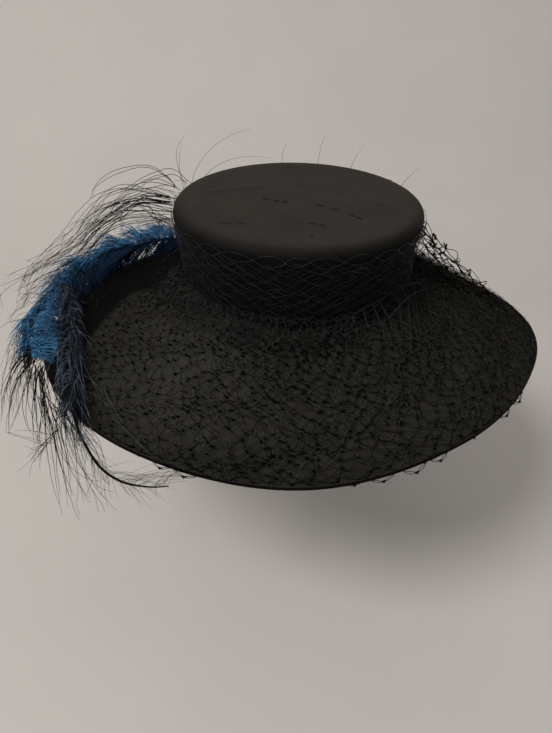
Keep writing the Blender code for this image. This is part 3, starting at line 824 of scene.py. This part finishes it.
def make_net_ends(material):
    """Short cut ends of net that stick out of the gathers at the crown's foot, mostly on the left."""
    r = default_rng(41)
    count = 110
    angle = np.radians(r.triangular(-178, -140, -90, count))
    way = r.uniform(0.04, 0.22, count)
    start, up = brim_point(angle, way, 0.001 + 0.005 * r.random(count))
    outward = unit(oval(1.0, 1.0, angle))
    along = unit(outward * r.uniform(0.3, 1.0, (count, 1)) + r.normal(0, 0.7, (count, 3)) * (1, 1, 0.2))
    length = r.uniform(0.005, 0.016, (count, 1, 1))
    t = np.linspace(0, 1, 6)[None, :, None]
    rise = r.uniform(0.1, 0.4, (count, 1, 1)) * (t * (1 - 0.8 * t)) * 2
    path = start[:, None] + (along[:, None] * t + up[:, None] * rise) * length
    path += r.normal(0, 0.0004, path.shape)
    piece("net_ends", *tubes(path, np.linspace(0.00018, 0.00009, 6)), material, "net")


def make_dark_strokes(material):
    """Short dark strokes along the fold's lower edge, over the brim."""
    spans = ((-116, -113, 0.16), (-112, -108, 0.165), (-104, -102, 0.175), (-101, -96, 0.185),
             (-95, -88, 0.19), (-84, -81, 0.2), (-74, -71, 0.225))
    paths = []
    for start, end, way in spans:
        t = np.linspace(0, 1, 7)
        angle = np.radians(start + (end - start) * t)
        paths.append(brim_point(angle, way + 0.004 * np.sin(t * 3), 0.0046)[0])
    radii = 0.00055 * np.array((0.5, 1, 1.2, 1.1, 1.2, 1, 0.5))
    piece("veil_dark_strokes", *tubes(np.array(paths), radii, 5), material, "net")


def make_rim_loops(material):
    """Loops of net that hang past the rim in front: two threads each, caught by a knot in the middle.
    Each span is its first and last angle and how far it hangs, in mm."""
    spans = ((-117, -113, 4), (-113, -108, 4.5), (-83.5, -80.5, 2.5), (-79.5, -74.5, 4.5), (-73.5, -68.3, 6),
             (-68.0, -63.8, 5), (-58, -56.5, 2), (-49, -44.2, 4), (-43, -37.5, 4.5))
    t = np.linspace(0, 1, 13)
    threads, knots = [], []
    for start, end, drop in spans:
        rim, _ = brim_point(np.radians(start + (end - start) * t), 1.0)
        way_out = unit(rim * (1, 1, 0)) * 0.75 - np.array((0, 0, 0.66))
        for narrow in (0.0, 0.35):
            slack = 1 - narrow * np.abs(np.sin(2 * np.pi * t))
            depth = 0.0004 + 0.001 * drop * np.sin(np.pi * t) ** 0.65 * slack
            threads.append(rim + way_out * depth[:, None])
        knots.append(threads[-1][5:8])
    made = joined(tubes(np.array(threads), np.full(13, 0.00024), 4),
                  tubes(np.array(knots), np.array((0.0004, 0.0011, 0.0004)), 6))
    piece("rim_loops", *made, material, "net")


# ---- feathers

def smooth_line(rows, count):
    """count points on a Catmull-Rom line through rows."""
    rows = np.asarray(rows, float)
    place = np.linspace(0, len(rows) - 1, count)
    first = np.minimum(place.astype(int), len(rows) - 2)
    t = (place - first)[:, None]
    padded = np.concatenate((rows[:1], rows, rows[-1:]))
    a, b, c, d = (padded[first + k] for k in range(4))
    return b + t * ((c - a) + t * ((2 * a - 5 * b + 4 * c - d) + t * (3 * (b - c) + d - a))) / 2


def over_brim(rows, count):
    """A plume's stem from its table, with the way up at each point."""
    line = smooth_line(rows, count)
    return brim_point(np.radians(line[:, 0]), line[:, 1], QUILL / 2 + SEAT_GAP + PLUME_LIFT * line[:, 2])


def stem_frame(stem, up, place):
    """Points at places (0 to 1) along a stem, with its direction, its outer side and its up."""
    ahead = unit(np.gradient(stem, axis=0))
    side = unit(np.cross(ahead, up))
    at = place * (len(stem) - 1)

    def pick(values):
        return np.stack([np.interp(at, np.arange(len(stem)), values[:, k]) for k in range(3)], -1)

    return pick(stem), unit(pick(ahead)), unit(pick(side)), unit(pick(np.cross(side, ahead)))


def barb_paths(root, out, ahead, up, length, sweep, arch, droop, curl, steps, r, shake):
    """Curved barbs: they leave the stem along out, sweep ahead, arch up and droop at the tip."""
    t = np.linspace(0, 1, steps)[None, :, None]
    count = len(root)
    length, sweep, arch, droop, curl = (
        np.broadcast_to(value, (count,)).reshape(-1, 1, 1) for value in (length, sweep, arch, droop, curl))
    path = out[:, None] * (t - curl * t ** 3) + ahead[:, None] * sweep * t * (0.35 + 0.65 * t)
    path = path + up[:, None] * arch * 4 * t * (1 - t)
    path = path + np.array((0, 0, -1.0)) * droop * t ** 2
    bend = r.normal(0, 1, (count, 1, 3)) * shake
    path = path + bend * t ** 2 + r.normal(0, 1, (count, 1, 3)) * shake * 0.4 * np.sin(t * 5)
    return root[:, None] + path * length


def barbules(paths, per_barb, size, r, start=0.12, width=HAIR_RADIUS):
    """Thin tapering hairs that stand off each barb, which give a plume its fluff."""
    count, steps = paths.shape[:2]
    place = r.uniform(start, 1.0, (count, per_barb)) * (steps - 1)
    low = np.minimum(place.astype(int), steps - 2)
    t = (place - low)[..., None]
    index = np.arange(count)[:, None]
    root = paths[index, low] * (1 - t) + paths[index, low + 1] * t
    ahead = unit(paths[index, low + 1] - paths[index, low])
    away = unit(np.cross(ahead, r.normal(0, 1, ahead.shape)))
    lean = away * 0.8 + ahead * r.uniform(0.3, 1.1, t.shape)
    tip = root + lean * size * r.uniform(0.4, 1.2, t.shape)
    cross = unit(np.cross(tip - root, r.normal(0, 1, tip.shape))) * width
    lift = unit(np.cross(tip - root, cross)) * width
    points = np.stack((root + cross, root - cross, root + lift, tip), 2).reshape(-1, 3)
    base = (np.arange(count * per_barb) * 4)[:, None, None]
    faces = base + np.array([(0, 2, 3), (2, 1, 3), (1, 0, 3), (0, 1, 2)])[None]
    return points, faces.reshape(-1, 3)


def taper(steps, thick, thin):
    """Radii from a thick root to a thin tip."""
    return np.linspace(1, 0, steps) ** 0.7 * (thick - thin) + thin


def fluffy(paths, thick, thin, hairs, size, r):
    """Tapering barbs with so many hairs each."""
    return joined(tubes(paths, taper(paths.shape[1], thick, thin)), barbules(paths, hairs, size, r))


def make_blue_plume(blue, black, deep):
    r = default_rng(51)
    stem, up = over_brim(BLUE_ROWS, 60)
    piece("blue_quill", *tubes(stem[None], taper(60, 0.0014, 0.0006), 8), deep, "blue_feather")

    def barbs(count, sides, rises, low, high, length, sweep, droop, steps=9, shake=0.07):
        """Barbs between two places of the stem, gathered into locks. sides and rises say how far they
        lean to its outer side and up, at four places along it."""
        place = low + (high - low) * r.random(count)
        lock = np.floor(place * LOCKS)
        gathered = np.interp(place, (0, 0.4, 0.55, 1), (0.6, 0.55, 0.3, 0.25))
        place = place + gathered * ((lock + 0.5) / LOCKS - place)
        root, ahead, out, above = stem_frame(stem, up, place)
        clump = r.normal(0, 1, (3, 90))[:, (lock + LOCKS * (sides[-1] > 0)).astype(int)]
        swing = r.normal(0, 0.1, count) + 0.15 * clump[0]
        side = np.interp(place, (0, 0.35, 0.6, 1), sides) * (1 + 0.1 * clump[1]) + r.normal(0, 0.05, count)
        rise = np.interp(place, (0, 0.35, 0.6, 1), rises) + swing
        size = np.interp(place, (0, 0.08, 0.4, 0.8, 1), (0.5, 0.85, 1.0, 1.0, 0.75)) * length
        size = size * r.uniform(0.75, 1.12, count) * (1 + 0.08 * clump[2])
        late = droop * np.interp(place, (0, 0.3, 0.7, 1), (0.1, 0.25, 0.7, 1.0))
        sweep, late = sweep * r.uniform(0.7, 1.2, count), late * r.uniform(0.7, 1.25, count)
        out = out * side[:, None] + above * rise[:, None]
        return barb_paths(root, out, ahead, above, size, sweep, 0.1, late, 0.0, steps, r, shake)

    outer = barbs(900, (0.45, 0.56, 0.26, 0.02), (0.22, 0.34, 0.12, 0.02), 0.0, 0.9, 0.037, 0.85, 0.25)
    outer = fluffy(outer, 0.0005, 0.00012, 5, 0.002, r)
    piece("blue_barbs_outer", *outer, blue, "blue_feather", ["blue_plume"])
    ends = barbs(200, (0, 0, 0, -0.6), (0, 0, 0, 0.0), 0.8, 1.0, 0.04, 0.85, 0.25)
    inner = barbs(860, (0.0, -0.1, -0.72, -0.8), (0.34, 0.2, 0.0, 0.05), 0.1, 1.0, 0.04, 0.7, 0.08)
    under = barbs(300, (-1.0, -1.0, -1.0, -0.95), (-0.25, -0.3, -0.3, -0.25), 0.68, 1.0, 0.042, 0.6, 0.1)
    inner = np.concatenate((inner, ends, under))
    piece("blue_barbs_inner", *fluffy(inner, 0.0005, 0.00012, 6, 0.0022, r), blue, "blue_feather")
    # the low, middle and filling barbs on the under side take a darker copy of the blue: painted shade
    low = barbs(640, (-0.75, -0.66, -0.5, -0.4), (-0.5, -0.66, -0.3, 0.0), 0.0, 0.66, 0.046, 0.75, 0.1)
    middle = barbs(420, (-0.35, -0.3, -0.2, -0.15), (-0.2, -0.26, -0.1, 0.0), 0.0, 0.9, 0.036, 0.9, 0.1)
    filled = barbs(320, (-0.95, -0.95, -0.9, -0.8), (-0.5, -0.5, -0.35, -0.1), 0.22, 0.62, 0.046, 0.5, 0.05)
    both = np.concatenate((low, middle, filled))
    piece("blue_barbs_in_painted_shade", *fluffy(both, 0.00044, 0.0001, 7, 0.0034, r), deep, "blue_feather")
    guard = barbs(110, (0.5, 0.55, 0.45, 0.35), (0.3, 0.25, 0.1, 0.0), 0.1, 1.0, 0.046, 0.75, 0.4, 14, 0.11)
    tail = barbs(40, (0.2, 0.2, 0.2, 0.2), (0.0, 0.0, 0.0, 0.0), 0.84, 1.0, 0.046, 0.6, 0.75, 14, 0.12)
    both = np.concatenate((guard, tail))
    piece("blue_guard_wisps", *fluffy(both, 0.00023, 0.00007, 12, 0.003, r), black, "black_feather")


def make_dark_plume(dark, blue_grey_highlight, black):
    r = default_rng(61)
    stem, up = over_brim(DARK_ROWS, 50)
    hanging = stem[-1] + smooth_line(HANGING_ROWS, 40)[1:] * (1, -1, -1) * BRIM_HALF_WIDTH
    whole = np.concatenate((stem, hanging))
    hanging_up = np.broadcast_to(up[-1], hanging.shape)
    radius = np.interp(np.linspace(0, 1, len(whole)), (0, 0.45, 0.8, 1), (0.0011, 0.0011, 0.001, 0.0004))
    piece("dark_quill", *tubes(whole[None], radius[None], 8), black, "dark_feather", ["dark_plume"])

    def barbs(line, line_up, count, side, low, high, length, sweep, arch, droop, curl, steps=8, shake=0.08):
        """Barbs between two places of a line. side says how far they lean to its outer side."""
        place = low + (high - low) * r.random(count)
        root, ahead, out, above = stem_frame(line, line_up, place)
        out = out * side * r.uniform(0.5, 1.3, (count, 1))
        out = out + above * np.abs(r.normal(0.05, 0.14, (count, 1)))
        size = np.interp(place, (0, 0.35, 0.8, 1), (0.25, 1.0, 1.0, 0.9)) * length
        size = size * r.uniform(0.6, 1.15, count)
        sweep = sweep * r.uniform(0.4, 1.6, count)
        return barb_paths(root, out, ahead, above, size, sweep, arch, droop, curl, steps, r, shake)

    left = barbs(stem, up, 400, 0.52, 0.0, 0.9, 0.029, 0.85, 0.14, 0.1, 0.35, shake=0.12)
    right = barbs(stem, up, 480, -0.4, 0.0, 0.93, 0.037, 1.05, 0.1, 0.05, 0.3, shake=0.12)
    # a share of the barbs, and the crest, take the lighter blue grey: painted highlights on the dark plume
    light = r.random(len(left)) < 0.34, r.random(len(right)) < 0.26
    both = np.concatenate((left[~light[0]], right[~light[1]]))
    piece("dark_barbs", *fluffy(both, 0.00026, 0.00008, 16, 0.0034, r), dark, "dark_feather")
    crest = barbs(stem, up, 70, -0.05, 0.0, 0.9, 0.02, 1.0, 0.1, 0.0, 0.1)
    both = np.concatenate((left[light[0]], right[light[1]], crest))
    piece("blue_grey_highlight_barbs", *fluffy(both, 0.00032, 0.0001, 14, 0.003, r), blue_grey_highlight, "dark_feather")
    below = barbs(hanging, hanging_up, 24, 0.2, 0.1, 0.8, 0.024, 0.6, 0.0, 0.45, 0.0, 14, 0.12)
    above = barbs(hanging, hanging_up, 46, -0.55, 0.0, 1.0, 0.034, 0.9, 0.0, 0.0, 0.0, 14, 0.06)
    trailing = barbs(stem, up, 30, -0.25, 0.45, 0.92, 0.056, 1.0, 0.05, 0.05, 0.0, 14, 0.08)
    wisps = joined(tubes(below, taper(14, 0.00018, 0.00006)), tubes(above, taper(14, 0.00015, 0.00006)),
                   fluffy(trailing, 0.00024, 0.00008, 8, 0.0034, r), *bundles(HANGING_WISPS, r))
    piece("hanging_wisps", *wisps, black, "black_feather")


def bezier(a, b, c, d, steps):
    t = np.linspace(0, 1, steps)[None, :, None]
    a, b, c, d = (p[:, None] for p in (a, b, c, d))
    return a * (1 - t) ** 3 + 3 * b * t * (1 - t) ** 2 + 3 * c * t ** 2 * (1 - t) + d * t ** 3


def bundles(table, r):
    """The wisps of a table of bundles, as tubes with a few twigs and hairs on the fluffy ones."""
    parts = []
    for count, radius, spread, twiggy, rows in table:
        line = smooth_line(np.array(rows) * 0.001, 26)
        share = np.linspace(0, 1, 26)[None, :, None]
        sizes = r.uniform(0.8, 1.06, (count, 1, 1))
        lean = r.normal(0, 1, (count, 1, 3)) * (0.8, 1.2, 1.0) * spread * 0.001
        bend = r.normal(0, 1, (count, 1, 3)) * spread * 0.001
        paths = line[0] + (line - line[0])[None] * sizes
        paths = paths + r.normal(0, 1, (count, 1, 3)) * spread * 0.0008
        paths = paths + lean * share ** 1.4 + bend * np.sin(np.pi * share)
        paths = paths + np.cumsum(r.normal(0, 0.00022, paths.shape), axis=1)
        past = np.maximum(WISP_LEVEL - paths[..., 2], 0)
        level = WISP_LEVEL - WISP_DROP * np.tanh(past / WISP_DROP)
        paths[..., 2] = np.where(past > 0, level, paths[..., 2])
        parts.append(tubes(paths, taper(26, radius * WISP_RADIUS, WISP_TIP)))
        if twiggy:
            twig_count = 9 * count
            pick, at = r.integers(0, count, twig_count), r.integers(5, 24, twig_count)
            start = paths[pick, at]
            ahead = unit(paths[pick, at + 1] - start)
            span = r.uniform(0.006, 0.02, (twig_count, 1))
            away = unit(ahead + r.normal(0, 0.5, ahead.shape) + (0, 0, 0.1))
            tip = start + away * span
            twigs = bezier(start, start + ahead * span * 0.35, start + away * span * 0.7 + (0, 0, 0.001),
                           tip - (0, 0, 0.003), 7)
            parts.append(tubes(twigs, taper(7, 0.00018, 0.00007)))
            parts.append(barbules(paths, 30, 0.0034, r, 0.25, 0.00013))
    return parts


def make_spray(black):
    """Black wisps that leave the crown's side at the back left, arch over and fall past the rim."""
    r = default_rng(71)
    count = 12
    angle = np.radians(r.uniform(148, 172, count))
    start = crown_point(angle, CROWN_HEIGHT * r.uniform(0.1, 0.85, count), 0.004)
    end = start + np.stack((r.uniform(-0.05, -0.01, count), r.uniform(-0.02, 0.03, count),
                            r.uniform(-0.025, 0.018, count)), -1)
    stubs = bezier(start, start + (-0.004, 0, 0.01), (start + end) / 2 + (0, 0, 0.012), end, 12)
    stalk = np.stack([crown_point(np.radians(152.0), h, 0.0048) for h in np.linspace(0.001, 0.056, 10)])
    made = joined(*bundles(SPRAY_WISPS, r), tubes(stubs, taper(12, 0.00022, 0.00007)),
                  tubes(stalk[None], 0.0013, 8))
    piece("black_wisps", *made, black, "black_feather", ["black_spray"])


def make_hairs(black):
    """Single hairs that stand up behind the crown."""
    rows = (  # root, two guides and tip, in mm
        ((-98, 62, 45), (-112, 60, 80), (-108, 60, 88), (-98, 60, 98)),
        ((-100, 60, 40), (-108, 60, 70), (-104, 58, 82), (-101, 58, 91)),
        ((-97, 60, 45), (-96, 65, 75), (-70, 75, 95), (-41, 80, 100)),
        ((-94, 64, 45), (-80, 75, 75), (-50, 85, 78), (-22, 90, 72)),
        ((-10, 116, 50), (-12, 118, 66), (-10, 118, 74), (-4, 118, 82)),
        ((26, 114, 50), (24, 116, 66), (27, 116, 78), (32, 116, 90)),
        ((56, 104, 50), (56, 106, 62), (62, 108, 70), (68, 108, 80)),
        ((98, 64, 50), (101, 66, 58), (108, 68, 64), (116, 70, 70)),
    )
    corners = np.array(rows) * 0.001
    paths = bezier(*(corners[:, k] for k in range(4)), 16)
    piece("stray_hairs", *tubes(paths, taper(16, 0.00022, 0.00008)), black, "black_feather")


def make_strays(pale):
    """A few bare strands that lie over the left of the brim, coloured pale: painted highlights where dark
    barbs catch the light.
    """
    rows = (((219, 0.9), (224, 0.87), (229, 0.87)), ((225, 0.82), (230, 0.86), (235, 0.91)),
            ((232, 0.91), (236, 0.93), (243, 0.99)), ((214, 0.8), (220, 0.82), (226, 0.86)))
    lift = 0.005 + 0.0015 * np.sin(np.linspace(0, 3, 14))
    lines = np.array([smooth_line(row, 14) for row in rows])
    paths = brim_point(np.radians(lines[..., 0]), lines[..., 1], lift)[0]
    piece("glinting_strands", *tubes(paths, taper(14, 0.0002, 0.0001)), pale, "black_feather")


# ---- stage

def make_stage():
    """A pale floor that curves up into a backdrop."""
    profile = [(-4.0, FLOOR), (-1.0, FLOOR), (BACKDROP - FLOOR_CURVE, FLOOR)]
    for k in range(1, 13):
        turn = math.pi / 2 * k / 12
        profile.append((BACKDROP - FLOOR_CURVE + FLOOR_CURVE * math.sin(turn),
                        FLOOR + FLOOR_CURVE - FLOOR_CURVE * math.cos(turn)))
    profile.append((BACKDROP, 4.0))
    points = [[(x, y, z) for x in (-FLOOR_HALF, FLOOR_HALF)] for y, z in profile]
    faces = grid_faces(len(profile), 2, False, False)
    piece("floor", points, faces, plaster("floor plaster", (0.71, 0.676, 0.645)), stage=True)


def main():
    make_camera()
    make_stage()
    make_light()

    cloth = silk("brim silk", (0.0292, 0.0281, 0.0231), painted_light_of=brim_painted_light, sheen=0.0003, shine=0.0)
    tip = silk("tip silk", (0.034, 0.0304, 0.0262), 0.55, 0.06, tip_painted_shade)
    # the crown's side: a silk much darker than the tip's
    side_silk = silk("crown side silk", (0.0058, 0.0056, 0.0062), 0.7)
    dark_net = netting("dark net", (0.0022, 0.0021, 0.0024), 0.5, 0.0, 0.03)
    pale_net = netting("crown net", (0.018, 0.0172, 0.021), 0.35, 0.03, 0.2)
    grey_net = netting("fold net", (0.036, 0.035, 0.037), 0.35, 0.03, 0.3)
    fold_net = netting("fold edge net", (0.046, 0.045, 0.052), 0.35, 0.03, 0.2)
    blue = feather("blue feather", (0.009, 0.074, 0.195), (0.095, 0.33, 0.6), shine=0.35)
    # a darker copy of the blue feather: painted shade for the plume's under barbs and its quill
    deep = feather("blue feather in painted shade", (0.003, 0.012, 0.034), (0.008, 0.036, 0.09))
    slate = feather("slate feather", (0.0035, 0.0055, 0.009), (0.01, 0.016, 0.026))
    # lighter blue grey for painted highlights on the dark plume
    blue_grey_highlight = feather("blue grey feather as painted highlight", (0.04, 0.058, 0.09), (0.2, 0.25, 0.33), shine=0.3)
    black = feather("black feather", (0.002, 0.002, 0.0022), (0.005, 0.0045, 0.0045), tint=(1, 1, 1, 1))
    # pale colour for a few strands: painted highlights on dark barbs
    pale = feather("strand in painted highlight", (0.08, 0.08, 0.08), (0.16, 0.16, 0.16), roughness=0.3, shine=0.4)

    # the brim's wired edge gets a darker copy of its silk, as painted shade
    make_brim(cloth, silk("brim edge silk in painted shade", (0.0042, 0.0041, 0.0038), 0.6))
    make_crown(side_silk, tip)
    make_slubs(black)
    first = make_brim_net("brim_net_low", dark_net, 101, 74, 25, 0.0006, 0.0, -176.0)
    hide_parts("veil_brim")
    make_brim_net("brim_net_middle", dark_net, 202, 70, 23, 0.0012, 0.015, -168.0)
    make_brim_net("brim_net_top", dark_net, 303, 64, 24, 0.0018, 0.04, -118.0)
    make_pouf("pouf_outer", dark_net, 151, 0.96, 12, 11, 0.84)
    make_pouf("pouf_inner", dark_net, 252, 0.72, 11, 8, 0.5)
    first = make_crown_net("crown_net_low", pale_net, 404, 31, 0.42, 0.0006, 0.84)
    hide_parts("veil_crown")
    make_crown_net("crown_net_high", pale_net, 505, 27, 0.26, 0.0014, 0.8)
    make_top_arcs(pale_net)
    low_net = netting("fold net low", (0.024, 0.023, 0.025), 0.35, 0.02, 0.2)
    make_fold("fold_low", low_net, 707, 28, 1.0, -176.0, -66.0)
    make_fold("fold_high", netting("fold net high", (0.012, 0.0115, 0.014), 0.35, 0.02, 0.1), 808, 50, 1.15)
    left_net = netting("left fold net", (0.03, 0.028, 0.028), 0.35, 0.02, 0.2)
    make_fold("fold_left", left_net, 909, 16, 1.1, -160.0, -98.0, 0.00018)
    # the ladder's long edges: angles, ways and lifts over the brim
    top = ((-77, -67, -59, -51, -40, -29, -23), (0.14, 0.06, 0.05, 0.04, 0.03, 0.07, 0.13),
           (0.008, 0.013, 0.014, 0.014, 0.014, 0.014, 0.012))
    foot = ((-74, -67, -60, -52, -39, -28, -21), (0.17, 0.13, 0.15, 0.14, 0.1, 0.11, 0.18), [0.006] * 7)
    tail = ((-72, -67, -61, -58, -54, -48, -40), (0.21, 0.22, 0.23, 0.28, 0.32, 0.34, 0.35), [0.0025] * 7)
    make_ladder("ladder_upper", fold_net, 9, (top, foot), 43, 0.00021)
    make_ladder("ladder_lower", grey_net, 9, (foot, tail), 44, 0.00018)
    make_net_ends(grey_net)
    make_dark_strokes(black)
    make_rim_loops(black)
    make_loose_threads(netting("loose thread net", (0.066, 0.062, 0.058), 0.4, 0.0, 0.2), 600)
    make_blue_plume(blue, black, deep)
    make_dark_plume(slate, blue_grey_highlight, black)
    make_spray(black)
    make_hairs(black)
    make_strays(pale)


main()
